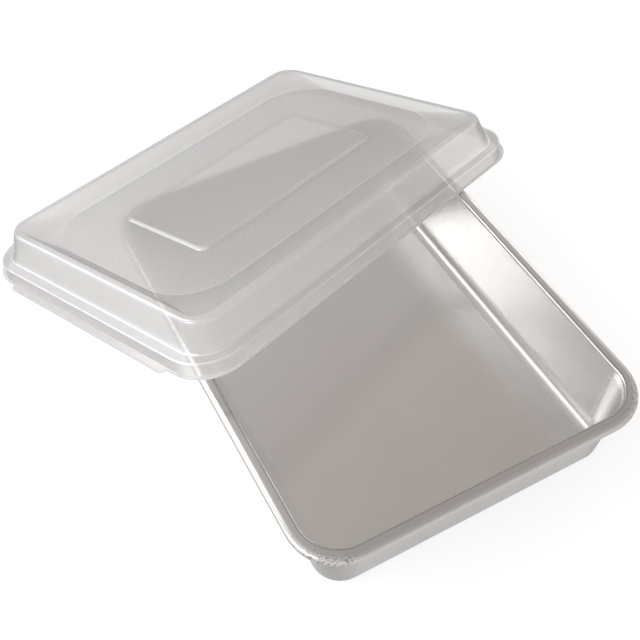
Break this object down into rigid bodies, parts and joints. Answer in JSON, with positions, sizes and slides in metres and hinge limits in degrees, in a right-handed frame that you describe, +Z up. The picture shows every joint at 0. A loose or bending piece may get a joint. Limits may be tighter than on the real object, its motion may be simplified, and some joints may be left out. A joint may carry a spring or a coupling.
{
  "type": "cake pan with lid",
  "caption": "Rectangular aluminium cake pan with rolled wired rim, and its frosted translucent lid with raised crown and shallow well, laid across it.",
  "frame": {"origin": "centre of the underside of the pan's floor", "axes": "+Z up, +X to the right along the pan's short side, +Y to the back along the pan's long side"},
  "size_m": [0.3996, 0.4784, 0.1142],
  "materials": {
    "pan_metal": "satin",
    "wire_metal": "drawn",
    "lid_plastic": "frosted translucent"
  },
  "bodies": {
    "root": {"pan": "pan_metal", "rim_wire": "wire_metal", "lid": "lid_plastic"}
  },
  "joints": []
}
